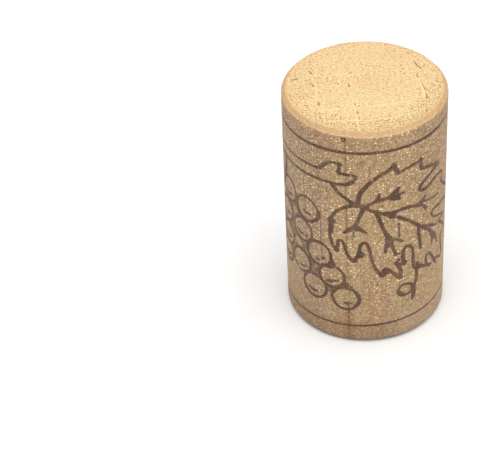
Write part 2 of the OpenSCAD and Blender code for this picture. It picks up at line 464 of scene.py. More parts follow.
def cane():
    """The cane's two long lines and the marks on them."""
    long_lines = [stroke(laid(points) + last, *widths) for points, last, *widths in CANE]
    return long_lines + drawn(CANE_MARKS, laid)


def grape_middles():
    return laid([(s, z) for s, z, r in GRAPES])


def bunch_ground():
    """The inked ground between the grapes."""
    middles = grape_middles()
    discs = [(np.array(m), r - GRAPE_EDGE) for m, (s, z, r) in zip(middles, GRAPES)]
    bare = [(np.array(laid([at])[0]), r) for at, r in BARE_SPOTS]
    return Patch([middles[i] for i in OUTER_GRAPES], discs + bare)


def bunch():
    """The grapes with their shades, the stems, and the curl below."""
    made = [oval(m, (r, r * GRAPE_HEIGHT), GRAPE_WIDTH, HEAVY_FROM + HEAVY_NEXT * i)
            for i, (m, (s, z, r)) in enumerate(zip(grape_middles(), GRAPES))]
    made += [stroke(laid(shade), *SHADE_WIDTHS) for shade in SHADES]
    made += drawn(STEMS, laid)
    middle, *rest = CURL_LOOP
    made.append(oval(laid([middle])[0], *rest))
    return made + drawn(CURL, laid)


# Where the vine as a whole lies on the side
VINE_SHIFT = (0.1, -0.46)
VINE_SCALE = (1.0, 1.008)


def placed(shapes):
    """The same shapes, set to where the vine lies."""
    for shape in shapes:
        shape.path = shape.path * VINE_SCALE + VINE_SHIFT
        shape.holes = [(middle * VINE_SCALE + VINE_SHIFT, radius) for middle, radius in shape.holes]
    return shapes


VINE = (drawn(CANE_END) + cane() + drawn(FIRST_LEAF_OUTLINE + FIRST_LEAF_VEINS + TENDRIL) + bunch()
        + drawn(SECOND_LEAF_OUTLINE + SECOND_LEAF_VEINS, laid))
LINES = [level_line(*TOP_RING, TOP_HEAVY), level_line(*LOW_RING, LOW_HEAVY)] + placed(VINE)
GROUNDS = placed([bunch_ground()])


def deepest(at, shapes):
    """How deep each place lies inside the shapes, down to REACH outside them."""
    depth = np.full(len(at), -REACH)
    for shape in shapes:
        low, high = shape.box()
        near = np.flatnonzero(((at > low) & (at < high)).all(1))
        for part in np.array_split(near, len(near) // AT_ONCE + 1):
            if len(part):
                depth[part] = np.maximum(depth[part], shape.depth(at[part]))
    return depth


def print_depth(at, shapes):
    """The same for the print, which runs on across the seam of the side."""
    return np.max([deepest(at + (turn, 0), shapes) for turn in (-ROUND, 0, ROUND)], axis=0)


# ---------------------------------------------------------------- the mesh

rng = np.random.default_rng(23)


def spread(points, closest):
    """The points that are left when no two may share a square of this size."""
    cell = np.floor(points / closest).astype(np.int64)
    keep = np.unique(cell[:, 0] * COLUMN_KEY + cell[:, 1], return_index=True)[1]
    return points[np.sort(keep)]


def smooth(value, low, high):
    t = ((value - low) / (high - low)).clip(0, 1)
    return t * t * (3 - 2 * t)


def circle(count):
    """Points on a circle of radius 1."""
    turn = np.linspace(0, 2 * math.pi, count, endpoint=False)
    return np.c_[np.cos(turn), np.sin(turn)]


def hexagons(low, high, step):
    """A grid of even triangles, with each point moved a little."""
    rows = np.arange(low[1], high[1], step * math.sqrt(3) / 2)
    made = []
    for i, y in enumerate(rows):
        x = np.arange(low[0] + step / 2 * (i % 2), high[0], step)
        made.append(np.c_[x, np.full(len(x), y)])
    made = np.vstack(made)
    return made + rng.uniform(-JITTER, JITTER, made.shape) * step


def triangles(points, loop):
    """Delaunay triangles of 2-D points. The first ones are the border, in order."""
    edges = [(i, (i + 1) % loop) for i in range(loop)]
    found = geometry.delaunay_2d_cdt([Vector(p) for p in points.tolist()], edges, [], 1, MERGED)
    places = np.array([tuple(v) for v in found[0]])
    came_from = np.array([ids[0] if ids else -1 for ids in found[3]])
    return places, came_from, found[2]


def eased(a, p, b, radius, steps):
    """The arc that eases corner p of the path a-p-b."""
    a, p, b = (np.array(q, float) for q in (a, p, b))
    to_a, to_b = (a - p) / np.linalg.norm(a - p), (b - p) / np.linalg.norm(b - p)
    half = math.acos(float(to_a @ to_b)) / 2
    middle = p + (to_a + to_b) / np.linalg.norm(to_a + to_b) * radius / math.sin(half)
    first = p + to_a * radius / math.tan(half) - middle
    start, turn = math.atan2(first[1], first[0]), math.pi - 2 * half
    at = start + turn * np.linspace(0, 1, steps + 1)
    return middle + radius * np.c_[np.cos(at), np.sin(at)]


def bevel_rows():
    """(radius, depth below the end) of each row from the face's rim to the shank."""
    face, corner = (RADIUS - BEVEL_IN, 0.0), (RADIUS, BEVEL_RUN)
    rim = eased((0, 0), face, corner, FACE_EASE, EASE_STEPS)
    shoulder = eased(face, corner, (RADIUS, LENGTH / 2), SHANK_EASE, EASE_STEPS)
    between = np.linspace(rim[-1], shoulder[0], BEVEL_STEPS + 1)[1:-1]
    return np.vstack([rim, between, shoulder])


ROWS = bevel_rows()
SHANK_FROM = ROWS[-1][1]
FACE_RADIUS = ROWS[0][0]


def round_points(s, radius, z):
    """Places on the stopper from the way round, the radius and the height."""
    turn = s / RADIUS - math.pi / 2
    return np.c_[radius * np.cos(turn), radius * np.sin(turn), z]


def wobble(places, scale, seed):
    """Smooth noise of about -1 to 1 at each place."""
    shift = Vector((seed * 7.3, seed * 3.1, seed * 1.7))
    return np.array([noise.noise(Vector(p) * scale + shift) for p in places.tolist()])


# A pin knot: its middle on the side, its radius and depth, and the rings of points that shape it, as shares
# of the radius
KNOT = (-2.95, 36.85)
KNOT_RADIUS = 0.34
KNOT_DEPTH = 0.14
KNOT_RINGS = (0.3, 0.55, 0.8, 1.05, 1.3)
KNOT_SPOKES = 14


def knot_points():
    spokes = circle(KNOT_SPOKES)
    return np.vstack([[KNOT]] + [np.array(KNOT) + spokes * KNOT_RADIUS * far for far in KNOT_RINGS])


def side_sheet():
    """The shank: places, where each came from, triangles, and the lengths of its border and uprights."""
    low, high = SHANK_FROM, LENGTH - SHANK_FROM
    across = -ROUND / 2 + ROUND * np.arange(COLUMNS + 1) / COLUMNS
    upright = np.linspace(low, high, int((high - low) / SIDE_STEP) + 1)
    border = np.vstack([
        np.c_[across, np.full(COLUMNS + 1, low)],
        np.c_[np.full(len(upright) - 2, ROUND / 2), upright[1:-1]],
        np.c_[across[::-1], np.full(COLUMNS + 1, high)],
        np.c_[np.full(len(upright) - 2, -ROUND / 2), upright[-2:0:-1]],
    ])
    lines = np.vstack([shape.mesh_points() for shape in LINES + GROUNDS])
    lines[:, 0] = (lines[:, 0] + ROUND / 2) % ROUND - ROUND / 2
    ground = hexagons((-ROUND / 2, low), (ROUND / 2, high), SIDE_STEP)
    ground = ground[print_depth(ground, LINES + GROUNDS) < -OFF_PRINT]
    inner = np.vstack([spread(lines, SIDE_CLOSEST), knot_points(), ground])
    clear = (inner[:, 1] > low + OFF_SEAM) & (inner[:, 1] < high - OFF_SEAM)
    inner = inner[clear & (abs(inner[:, 0]) < ROUND / 2 - OFF_SEAM)]
    places, came_from, faces = triangles(np.vstack([border, inner]), len(border))
    return places, came_from, faces, len(border), len(upright) - 2


# ---------------------------------------------------------------- the ends

# Where pores crowd: middle x, y; how far it reaches in x, y; pores to a square millimetre
PORE_CROWDS = [
    (-9.3, -3, 1.3, 4.5, 3), (3, -5.2, 4.5, 0.7, 1.4), (-2, 1.8, 5, 1.4, 1.8), (4, 8, 4, 1.4, 1.4),
    (-7.4, 2.2, 0.5, 4.6, 3), (2.5, 4.5, 5, 0.7, 2.2),
]
# They crowd along a part of the rim too: its radius and half width, its middle way and half width in
# degrees, and how many to a square millimetre
RIM_CROWD = (9.75, 1.1, -72, 66, 30)
# Elsewhere there are this many. The tries are made all over the end, and few of them are kept.
PORE_FEWEST = 0.25
PORE_TRIES = 14000
PORE_RADIUS = (0.075, 0.165)
PORE_DEPTH = 0.08
PORE_SPOKES = 6
PORES_APART = 1.65 * PORE_RADIUS[1]
PORE_OFF_RIM = 0.2
PORE_OFF_CRACK = 0.12

# The cracks, in rows like the print's, and the raised lips beside them and along the growth rings
CRACK_DEPTH = 0.18
UPPER_CRACKS = [
    ([(-2.2, 0.28), (-2.16, 0.1), (-2.13, -0.1)], 0.05, 0.2, 0.05),
    ([(-1.4, -4.2), (-1.36, -4.5), (-1.3, -4.8)], 0.03, 0.12, 0.03),
    ([(-0.97, -6.25), (-0.94, -6.5), (-0.9, -6.75)], 0.03, 0.15, 0.03),
    ([(-0.8, -7.6), (-0.74, -7.8), (-0.7, -8.05)], 0.03, 0.1, 0.03),
    ([(7.1, 6.1), (7.28, 5.5), (7.6, 4.9), (7.95, 4.3)], 0.02, 0.12, 0.12, 0.02),
    ([(7.36, 2.7), (7.48, 2.2), (7.58, 1.75)], 0.03, 0.13, 0.03),
    ([(7.85, 1.3), (8.1, 0.3), (8.32, -0.6), (8.4, -1.1)], 0.01, 0.03, 0.06, 0.02),
    ([(8.56, -2.1), (8.6, -2.6), (8.6, -3.2)], 0.02, 0.05, 0.02),
    ([(8.6, -5.7), (8.57, -6), (8.5, -6.3)], 0.02, 0.14, 0.02),
    ([(-7.84, 6.3), (-7.82, 6.15), (-7.8, 6)], 0.02, 0.05, 0.02),
    ([(-7.86, 3.7), (-7.65, 3.37), (-7.45, 3)], 0.02, 0.035, 0.02),
    ([(-7.42, 0.55), (-7.23, 0.17), (-7, -0.28)], 0.02, 0.04, 0.025),
    ([(-6.36, -3.95), (-6.33, -4.28), (-6.32, -4.6)], 0.02, 0.03, 0.04),
    ([(-3.74, 0.7), (-3.66, 0.55), (-3.6, 0.44)], 0.03, 0.04, 0.02),
    ([(-10.4, 1.5), (-9.9, 1.65), (-9.4, 1.9)], 0.02, 0.06, 0.02),
]
UPPER_LIPS = [
    ([(7.5, 1.9), (7.65, 1.4), (7.9, 0.4), (8.1, -0.5), (8.25, -1.6), (8.35, -3)], 0.08, 0.16, 0.22, 0.16,
      0.06),
    ([(-1.65, -3), (-1.55, -4.2), (-1.35, -5.4), (-1.15, -6.4)], 0.06, 0.18, 0.1, 0.06),
    ([(-1.1, -7), (-1, -8.2), (-0.9, -9.4), (-0.8, -10.5)], 0.1, 0.24, 0.16, 0.24),
    ([(-4.6, 2.5), (-3.2, 2.85), (-1.8, 2.7), (-0.2, 3)], 0.06, 0.18, 0.1, 0.05),
    ([(-6.2, -5.9), (-4.6, -5.8), (-3, -5.6)], 0.05, 0.17, 0.04),
    ([(-0.4, -5.3), (1.6, -4.9), (4, -4.4), (6.3, -3.7)], 0.04, 0.14, 0.1, 0.04),
    ([(-5.4, -8.5), (-3.4, -8.5), (-1.4, -8.4)], 0.05, 0.14, 0.04),
    ([(-7, 0.6), (-6.75, -1.3), (-6.45, -3.4)], 0.05, 0.14, 0.05),
    ([(1.2, -8.3), (3.2, -7.9), (5, -7.3), (6.8, -6.6)], 0.04, 0.12, 0.08, 0.04),
]
LOWER_CRACKS = [
    ([(3.2, 9.2), (2.9, 7.6), (3.1, 6.2), (2.7, 4.6), (2.8, 3.4)], 0.05, 0.12, 0.08, 0.14, 0.04),
    ([(-5.6, -3.6), (-5.2, -5.2), (-5.3, -6.6), (-4.9, -8.2)], 0.05, 0.13, 0.09, 0.04),
]
# The lips and crowds that the lower end has too begin at these rows
LOWER_LIPS_FROM = 4
LOWER_CROWDS_FROM = 2

# How deep an end is worn: as a shallow dish, along its grain and in finer bumps. A lip is spared most of
# this wear.
DISH = 0.05
GRAIN = 0.035
BUMPS = 0.016
LIP_SPARED = 0.9


def pores(crowds):
    """Middles and radii of the pores. They crowd at certain places and keep clear of each other."""
    at = rng.uniform(-FACE_RADIUS, FACE_RADIUS, (PORE_TRIES, 2))
    wanted = np.full(PORE_TRIES, PORE_FEWEST)
    for x, y, rx, ry, many in crowds:
        wanted = np.maximum(wanted, many * np.exp(-((at[:, 0] - x) / rx) ** 2 - ((at[:, 1] - y) / ry) ** 2))
    rim, half, way, half_way, many = RIM_CROWD
    far = np.linalg.norm(at, axis=1)
    off_way = np.degrees(np.arctan2(at[:, 1], at[:, 0])) - way
    wanted = np.maximum(wanted, many * np.exp(-((far - rim) / half) ** 2 - (off_way / half_way) ** 4))
    tried = PORE_TRIES / (2 * FACE_RADIUS) ** 2
    at = at[(rng.uniform(0, 1, PORE_TRIES) < wanted / tried) & (far < FACE_RADIUS - PORE_OFF_RIM)]
    kept = []
    for p in at:
        if not kept or np.linalg.norm(np.array(kept) - p, axis=1).min() > PORES_APART:
            kept.append(p)
    kept = np.array(kept)
    return kept, rng.uniform(*PORE_RADIUS, len(kept))


def nearest(points, centres):
    """The index of the nearest centre to each point, and how far off it is."""
    tree = KDTree(len(centres))
    for i, c in enumerate(centres.tolist()):
        tree.insert((*c, 0), i)
    tree.balance()
    found = [tree.find((*p, 0)) for p in points.tolist()]
    return np.array([f[1] for f in found]), np.array([f[2] for f in found])


def end_points(middles, radii, marks):
    """The border of an end, and then the points of its cracks and lips, its pores and the grid between."""
    turn = 2 * math.pi * np.arange(COLUMNS) / COLUMNS - 1.5 * math.pi
    border = FACE_RADIUS * np.c_[np.cos(turn), np.sin(turn)]
    lines = spread(np.vstack([line.mesh_points() for line in marks]), FACE_CLOSEST)
    rims = middles[:, None] + radii[:, None, None] * circle(PORE_SPOKES)
    fine = np.vstack([middles, rims.reshape(-1, 2)])
    fine = fine[deepest(fine, marks) < -PORE_OFF_CRACK]
    ground = hexagons((-FACE_RADIUS,) * 2, (FACE_RADIUS,) * 2, FACE_STEP)
    ground = ground[(nearest(ground, middles)[1] > OFF_PORE) & (deepest(ground, marks) < -OFF_CRACK)]
    inner = np.vstack([lines, fine, ground])
    return np.vstack([border, inner[np.linalg.norm(inner, axis=1) < FACE_RADIUS - OFF_RIM]])


def end_disc(cracks, lips, crowds, seed):
    """One end: places, where each came from, triangles, depths, and how far each is a pit and a lip."""
    middles, radii = pores(crowds)
    places, came_from, faces = triangles(end_points(middles, radii, cracks + lips), COLUMNS)
    which, off = nearest(places, middles)
    pit = PORE_DEPTH * smooth(-off / radii[which], -0.9, -0.1)
    pit = np.maximum(pit, CRACK_DEPTH * smooth(deepest(places, cracks), -0.02, 0.07))
    flat = np.c_[places, np.zeros(len(places))]
    grain = GRAIN * (1 + wobble(flat * (0.35, 1.4, 1), 1.0, seed + 1))
    grain += BUMPS * (1 + wobble(flat, 2.3, seed + 2))
    in_from_rim = FACE_RADIUS - np.linalg.norm(places, axis=1)
    worn = (DISH * (1 + wobble(flat, 0.16, seed)) + grain) * smooth(in_from_rim, 0.05, 1.1)
    pit *= smooth(in_from_rim, 0.06, 0.2)
    lip = smooth(deepest(places, lips), -0.08, 0.04)
    return places, came_from, faces, worn * (1 - LIP_SPARED * lip) + pit, pit, lip


# ---------------------------------------------------------------- putting the skin together

SIDE_RELIEF = 0.02
BEVEL_RELIEF = 0.06
# A worn place of the bevel lies this share of its depth further in, and as much further from the end
BEVEL_SLANT = 0.7
# How far the noise of one end's bevel is taken from the other's
NOISE_APART = 40.0

# In the texture map the side fills the lower half. The ends lie above it, a little smaller: their middles
# and their scale.
UPPER_MAP = (0.25, 0.71)
LOWER_MAP = (0.75, 0.71)
MAP_SCALE = 0.98


class Skin:
    """The closed mesh: its vertices, its faces, and the place of each corner in the texture map."""

    def __init__(self):
        self.vertices = np.empty((0, 3))
        self.values = {"ink": np.empty(0), "ground": np.empty(0), "pit": np.empty(0), "lip": np.empty(0)}
        self.faces = []
        self.map = []

    def add(self, vertices, **values):
        """Adds vertices with their values. Returns the index of the first one."""
        first = len(self.vertices)
        self.vertices = np.vstack([self.vertices, vertices])
        for name, old in self.values.items():
            new = values.get(name, np.full(len(vertices), 0.0 if name in ("pit", "lip") else -REACH))
            self.values[name] = np.r_[old, new]
        return first

    def face(self, corners, places, turned=False):
        """Adds a face. One that is turned over faces the other way."""
        order = -1 if turned else 1
        self.faces.append(list(corners)[::order])
        self.map += list(places)[::order]

    def mesh(self, name):
        made = bpy.data.meshes.new(name)
        made.from_pydata((self.vertices * MM).tolist(), [], self.faces)
        made.shade_smooth()
        for key, values in self.values.items():
            made.attributes.new(key, "FLOAT", "POINT").data.foreach_set("value", values)
        made.uv_layers.new(name="OFBake").data.foreach_set("uv", np.array(self.map, float).ravel())
        return made


def side_depth(places, bent):
    """How far in each place of the side lies, and how far of that is the knot's pit."""
    fibre = wobble(bent * (1, 1, 0.08), 0.9, 5) + 0.5 * wobble(bent * (1, 1, 0.2), 2.2, 6)
    knot = np.linalg.norm(places - KNOT, axis=1) / KNOT_RADIUS
    pit = KNOT_DEPTH * smooth(knot, 0.25, 0.6) * smooth(-knot, -1.15, -0.8)
    fade = smooth(np.minimum(places[:, 1] - SHANK_FROM, LENGTH - SHANK_FROM - places[:, 1]), 0, 2)
    inward = SIDE_RELIEF * (1.5 + fibre).clip(0, 3) / 3 * fade + pit
    return inward - inward.min(), pit


def add_side(skin):
    """Adds the shank. Returns the vertices of its lowest and its highest ring."""
    places, came_from, faces, loop, upright = side_sheet()
    s, z = places.T
    inward, pit = side_depth(places, round_points(s, RADIUS, z))
    ink, ground = print_depth(places, LINES), print_depth(places, GROUNDS)
    first = skin.add(round_points(s, RADIUS - inward, z), ink=ink, ground=ground, pit=pit)
    place_of = {int(old): new for new, old in enumerate(came_from) if 0 <= old < loop}
    low_row = [place_of[i] for i in range(COLUMNS + 1)]
    right = [place_of[COLUMNS + 1 + i] for i in range(upright)]
    high_row = [place_of[COLUMNS + 1 + upright + i] for i in range(COLUMNS + 1)][::-1]
    left = [place_of[2 * COLUMNS + 2 + upright + i] for i in range(upright)][::-1]
    weld = np.arange(len(places))
    weld[[low_row[-1], *right, high_row[-1]]] = [low_row[0], *left, high_row[0]]
    spots = np.c_[s / ROUND + 0.5, z / ROUND]
    for face in faces:
        skin.face([first + int(weld[i]) for i in face], [tuple(spots[i]) for i in face])
    return [first + i for i in low_row[:-1]], [first + i for i in high_row[:-1]]


def add_bevel(skin, ring, upper, seed, middle):
    """Adds a bevel to a ring of the shank. Returns its inner ring."""
    s = -ROUND / 2 + ROUND * np.arange(COLUMNS) / COLUMNS
    flat = round_points(s, RADIUS, np.full(COLUMNS, NOISE_APART * seed))
    rough = 1 + wobble(flat, 0.35, seed) + 0.4 * wobble(flat, 1.3, seed + 9)
    rings = [ring]
    for row in range(len(ROWS) - 2, -1, -1):
        radius, depth = ROWS[row]
        share = math.sin(math.pi * row / (len(ROWS) - 1))
        worn = (BEVEL_RELIEF * share * rough / 2).clip(0) * BEVEL_SLANT
        z = LENGTH - (depth + worn) if upper else depth + worn
        first = skin.add(round_points(s, radius - worn, z))
        rings.append([first + i for i in range(COLUMNS)])

    def spot(column, reach):
        turn = 2 * math.pi * column / COLUMNS - 1.5 * math.pi
        far = (FACE_RADIUS + reach) / ROUND * MAP_SCALE
        return (middle[0] + far * math.cos(turn), middle[1] + far * math.sin(turn))

    reaches = along(ROWS)[::-1]
    for outer, inner, far, near in zip(rings[:-1], rings[1:], reaches[:-1], reaches[1:]):
        for k in range(COLUMNS):
            n = (k + 1) % COLUMNS
            places = [spot(k, far), spot(k + 1, far), spot(k + 1, near), spot(k, near)]
            skin.face([outer[k], outer[n], inner[n], inner[k]], places, not upper)
    return rings[-1]


def add_end(skin, ring, upper, cracks, lips, crowds, seed):
    """Adds a bevel and an end face to a ring of the shank."""
    middle = UPPER_MAP if upper else LOWER_MAP
    rim = add_bevel(skin, ring, upper, seed, middle)
    places, came_from, faces, depth, pit, lip = end_disc(cracks, lips, crowds, seed)
    index = np.full(len(places), -1)
    for new, old in enumerate(came_from):
        if 0 <= old < COLUMNS:
            index[new] = rim[old]
    inner = np.flatnonzero(index < 0)
    z = LENGTH - depth[inner] if upper else depth[inner]
    first = skin.add(np.c_[places[inner], z], pit=pit[inner], lip=lip[inner])
    index[inner] = first + np.arange(len(inner))
    spots = places / ROUND * MAP_SCALE + middle
    for face in faces:
        skin.face([int(index[i]) for i in face], [tuple(spots[i]) for i in face], not upper)


def stopper_mesh():
    skin = Skin()
    low, high = add_side(skin)
    upper_cracks, upper_lips = drawn(UPPER_CRACKS), drawn(UPPER_LIPS)
    add_end(skin, high, True, upper_cracks, upper_lips, PORE_CROWDS, 1)
    lower_lips, lower_crowds = upper_lips[LOWER_LIPS_FROM:], PORE_CROWDS[LOWER_CROWDS_FROM:]
    add_end(skin, low, False, drawn(LOWER_CRACKS), lower_lips, lower_crowds, 2)
    return skin.mesh("stopper_wood")


# ---------------------------------------------------------------- materials

class Value:
    """A node's output. Sums of values are written as usual, and each sign in them adds a node."""

    def __init__(self, paint, socket):
        self.paint = paint
        self.socket = socket
        self.is_vector = socket.type == "VECTOR"

    def __add__(self, other):
        return self.paint.math("ADD", self, other)

    def __sub__(self, other):
        return self.paint.math("SUBTRACT", self, other)

    def __rsub__(self, other):
        return self.paint.math("SUBTRACT", other, self)

    def __mul__(self, other):
        return self.paint.math("MULTIPLY", self, other)

    def __truediv__(self, other):
        return self.paint.math("DIVIDE", self, other)

    def __abs__(self):
        return self.paint.math("ABSOLUTE", self)

    def step(self, low, high, at_low=0.0, at_high=1.0):
        """A soft step: at_low up to low, and at_high from high on."""
        ends = {"from_min": low, "from_max": high, "to_min": at_low, "to_max": at_high}
        return self.paint.take("MapRange", 0, {"interpolation_type": "SMOOTHSTEP"}, value=self, **ends)


class Paint:
    """The nodes of a material or of the sky. A value is a number, a tuple or a Value."""

    def __init__(self, owner, surface):
        owner.use_nodes = True
        self.owner = owner
        self.tree = owner.node_tree
        self.surface = self.tree.nodes[surface]
        self.colour = None

    def fill(self, socket, value):
        if isinstance(value, Value):
            self.tree.links.new(value.socket, socket)
        else:
            socket.default_value = value

    def show(self, values):
        """Sets inputs of the surface by their names."""
        for name, value in values.items():
            self.fill(self.surface.inputs[name], value)

    def put(self, kind, settings=(), **values):
        """Adds a node. Each keyword names an input, in lower case and with _ for a space."""
        made = self.tree.nodes.new("ShaderNode" + kind)
        for name, value in dict(settings).items():
            setattr(made, name, value)
        for name, value in values.items():
            self.fill(made.inputs[name.replace("_", " ").title()], value)
        return made

    def take(self, kind, output, settings=(), **values):
        """Adds a node and gives one of its outputs."""
        return Value(self, self.put(kind, settings, **values).outputs[output])

    def split(self, kind, **values):
        """Adds a node and gives all its outputs."""
        return [Value(self, output) for output in self.put(kind, **values).outputs]

    def math(self, operation, *values):
        """Adds a sum. It is one of vectors where a value in it is a vector."""
        vectors = any(isinstance(v, tuple) or getattr(v, "is_vector", False) for v in values)
        made = self.put("VectorMath" if vectors else "Math", {"operation": operation})
        for socket, value in zip(made.inputs, values):
            self.fill(socket, value)
        return Value(self, made.outputs["Vector" if vectors and operation != "DISTANCE" else "Value"])

    def noise(self, vector, scale, detail=2.0, roughness=0.5, output="Fac"):
        return self.take("TexNoise", output, vector=vector, scale=scale, detail=detail, roughness=roughness)

    def cells(self, vector, scale):
        """Cells: how far each place is from the middle of its own, and three random values of that cell."""
        distance, colour = self.split("TexVoronoi", vector=vector, scale=scale)[:2]
        return distance, *self.split("SeparateColor", color=colour)

    def mix(self, share, a, b, kind="RGBA"):
        """A mix of two colours, or with kind FLOAT of two numbers."""
        first, output = (6, 2) if kind == "RGBA" else (2, 0)
        made = self.put("Mix", {"data_type": kind})
        for place, value in ((0, share), (first, a), (first + 1, b)):
            self.fill(made.inputs[place], value)
        return Value(self, made.outputs[output])

    def coat(self, tint, share):
        """Lays a colour over the one so far."""
        self.colour = self.mix(share, self.colour, tint)

    def blot(self, at, middle, half, inside, outside):
        """A soft oval: one value inside it and another outside."""
        off, rise = ((a - m) / h for a, m, h in zip(at, middle, half))
        return (off * off + rise * rise).step(0.3, 1.8, inside, outside)

    def value_of(self, name):
        return self.take("Attribute", "Fac", {"attribute_name": name})


def colour(red, green, blue):
    """A colour from its three 8-bit values, in the linear form that Blender takes."""
    def linear(v):
        v /= 255
        return v / 12.92 if v <= 0.04045 else ((v + 0.055) / 1.055) ** 2.4
    return (linear(red), linear(green), linear(blue), 1.0)


PALE_WOOD = colour(244, 213, 157)
WARM_WOOD = colour(234, 190, 138)
PINK_WOOD = colour(233, 179, 140)
GREY_WOOD = colour(222, 189, 154)
SHANK_WOOD = colour(240, 202, 148)
RING_WOOD = colour(253, 228, 176)
BEVEL_WOOD = colour(219, 176, 122)
PAINTED_EDGE_HIGHLIGHT = colour(252, 212, 158)
PAINTED_FOOT_LIGHT = colour(255, 238, 212)
PORE_BROWN = colour(122, 76, 14)
# The brown of the streaks and hairs and of the ends' dark grit, and the painted shade of the shank's grit
# and of the side's foot
STREAK_AND_SHADE_BROWN = colour(160, 116, 80)
# A painted glint: the light colour laid on the scales and on the light grit of the shank and the bevels
PAINTED_GLINT = colour(255, 226, 180)
END_LIGHT = colour(255, 236, 184)
SPECK_BROWN = colour(104, 70, 46)
PURPLE_INK = colour(112, 74, 67)
OLIVE_INK = colour(94, 80, 61)
BROWN_INK = colour(126, 92, 50)
VIOLET_INK = colour(100, 78, 78)

# How far up or down a place faces, from 0 to 1: where an end begins and is full, and where the shank fades
# and is gone
END_FACES = (0.72, 0.95)
SHANK_FACES = (0.1, 0.8)

# The middle of the tree, from the stopper's, how far apart the growth rings lie and how far they waver
PITH = (-15.0, 70.0, 0.0)
RING_WIDTH = 2.4
RING_WAVER = 2.2

# An end is browner along its rim, in a wide faint band and in a narrow strong one: how wide and how strong
WIDE_RIM = (0.7, 0.4)
NARROW_RIM = (0.15, 0.7)
# It is warmer towards its rim, its back and its left, by this much, and at a smudge near its middle: where,
# the half width and half height, and how strong
END_WARMTH = 0.2
SMUDGE = ((0.6, 0.9), (2, 1.6), 0.45)
# The painted highlight along a bevel's outer edge is full up to the first of these distances and gone at
# the second
EDGE_LINE = (0.05, 0.16)

# Brown streaks on the side: the place round it at mid height, the lean, the half width, how strong, and the
# lower and upper end
TOP_END = 38.5
LOW_END = -0.5
STREAKS = [
    (-9.3, -0.038, 0.13, 0.65, 15.0, TOP_END), (-6.6, -0.026, 0.14, 0.85, 13.0, TOP_END),
    (-2.58, -0.009, 0.14, 0.65, 10.5, TOP_END), (-2.58, -0.009, 0.18, 0.5, LOW_END, 7.8),
    (-2.3, 0.0, 0.5, 0.3, 29.5, TOP_END), (-2.5, -0.009, 0.16, 0.4, 20.5, 25.2),
    (-2.5, 0.01, 0.5, 0.35, 5.0, 13.0), (-2.5, 0.0, 0.8, 0.45, LOW_END, 6.5),
    (1.5, -0.012, 0.1, 0.35, 31.0, TOP_END), (0.65, 0.0, 0.1, 0.5, 28.3, 32.6),
    (2.2, -0.03, 0.11, 0.3, 19.0, 28.5), (-0.6, -0.04, 0.1, 0.45, 21.6, 24.8),
    (13.0, -0.02, 0.2, 0.3, LOW_END, TOP_END), (22.5, 0.02, 0.3, 0.35, LOW_END, TOP_END),
    (-24.0, -0.01, 0.25, 0.35, LOW_END, TOP_END), (31.0, 0.0, 0.5, 0.25, LOW_END, TOP_END),
]
STREAK_FADE = 0.25
STREAK_SWAY = 0.35
# Dark specks on the side: place round it, height, half width, half height, strength
SPECKS = [
    (-5.53, 27.64, 0.14, 0.5, 0.5), (-5.56, 26.04, 0.14, 0.22, 0.45), (-2.29, 25.97, 0.2, 0.28, 0.9),
    (-1.73, 24.08, 0.14, 0.2, 0.9), (2.48, 25.4, 0.12, 0.2, 0.8), (1.2, 22.68, 0.12, 0.3, 0.5),
    (3.2, 22.4, 0.14, 0.25, 0.4), (1.79, 11.05, 0.13, 0.25, 0.7), (-0.3, 33.1, 0.4, 0.35, 0.3),
    (3.05, 28.4, 0.4, 0.35, 0.25), (6.2, 29.6, 0.35, 0.5, 0.22), (17.5, 12.4, 0.14, 0.3, 0.8),
    (-20.3, 33.4, 0.13, 0.3, 0.7), (27.5, 21.4, 0.13, 0.4, 0.7),
]
# Broad parts of the side with a tint: the colour; where round the side each begins, is full, fades and is
# gone; the height at which it begins and is full; how strong
TINTED_PARTS = [
    (colour(168, 142, 132), (-26, -14, -8, -3), (-2, -1), 0.26),
    (colour(214, 138, 100), (-26, -18, -6, 0), (34.6, 35.4), 0.25),
    (colour(150, 106, 76), (-26, -12, 2, 7), (4.6, 3.0), 0.18),
    (colour(250, 226, 200), (2, 6, 20, 26), (6.5, 3.5), 0.2),
    (colour(150, 104, 76), (-12, -7, 6, 12), (17, 9), 0.08),
    (colour(160, 124, 92), (5, 9, 16, 26), (8, 20), 0.24),
]
# Where the ink is thin: place round the side, height, half width, half height, how much is gone
THIN_INK = [(-0.7, 25.76, 0.8, 0.5, 0.12), (0.93, 30.25, 0.3, 0.3, 0.5), (-1.69, 19.9, 0.35, 0.7, 0.35)]

# The small lifted scales of the side: how many to a millimetre, their least and greatest size as a share of
# that, how ragged they are, how steeply they lean back and how metallic they shine
SCALE_CROWD = 2.7
SCALE_SIZE = (0.15, 0.44)
SCALE_RAGGED = (0.3, 0.3, 0.3)
SCALE_LEAN = (0.4, 1.15)
SCALE_SHINE = 0.3
# At both sides of the front there are more of them, and they lean further: the front's middle, how far off
# it this begins, is full, fades and is gone, and how much more of each
FRONT = 1.0
ASIDE = (3, 9, 11, 18)
ASIDE_MORE = 0.24
ASIDE_LEAN = 2.0

# The fine relief, in millimetres: the side's nap and hairs, and the ends' grain and finest pores
NAP = 0.12
HAIR = 0.012
END_GRAIN = 0.17
TUBE = -0.04
# How far each grain tilts, on the bevels and the ends and then on the shank
GRAIN_TILT = (0.3, 0.7)
WOOD_SPECULAR = 0.35
# The middle of a noise's colours, and the way up
HALF = (0.5, 0.5, 0.5)
UP = (0.0, 0.0, 1.0)


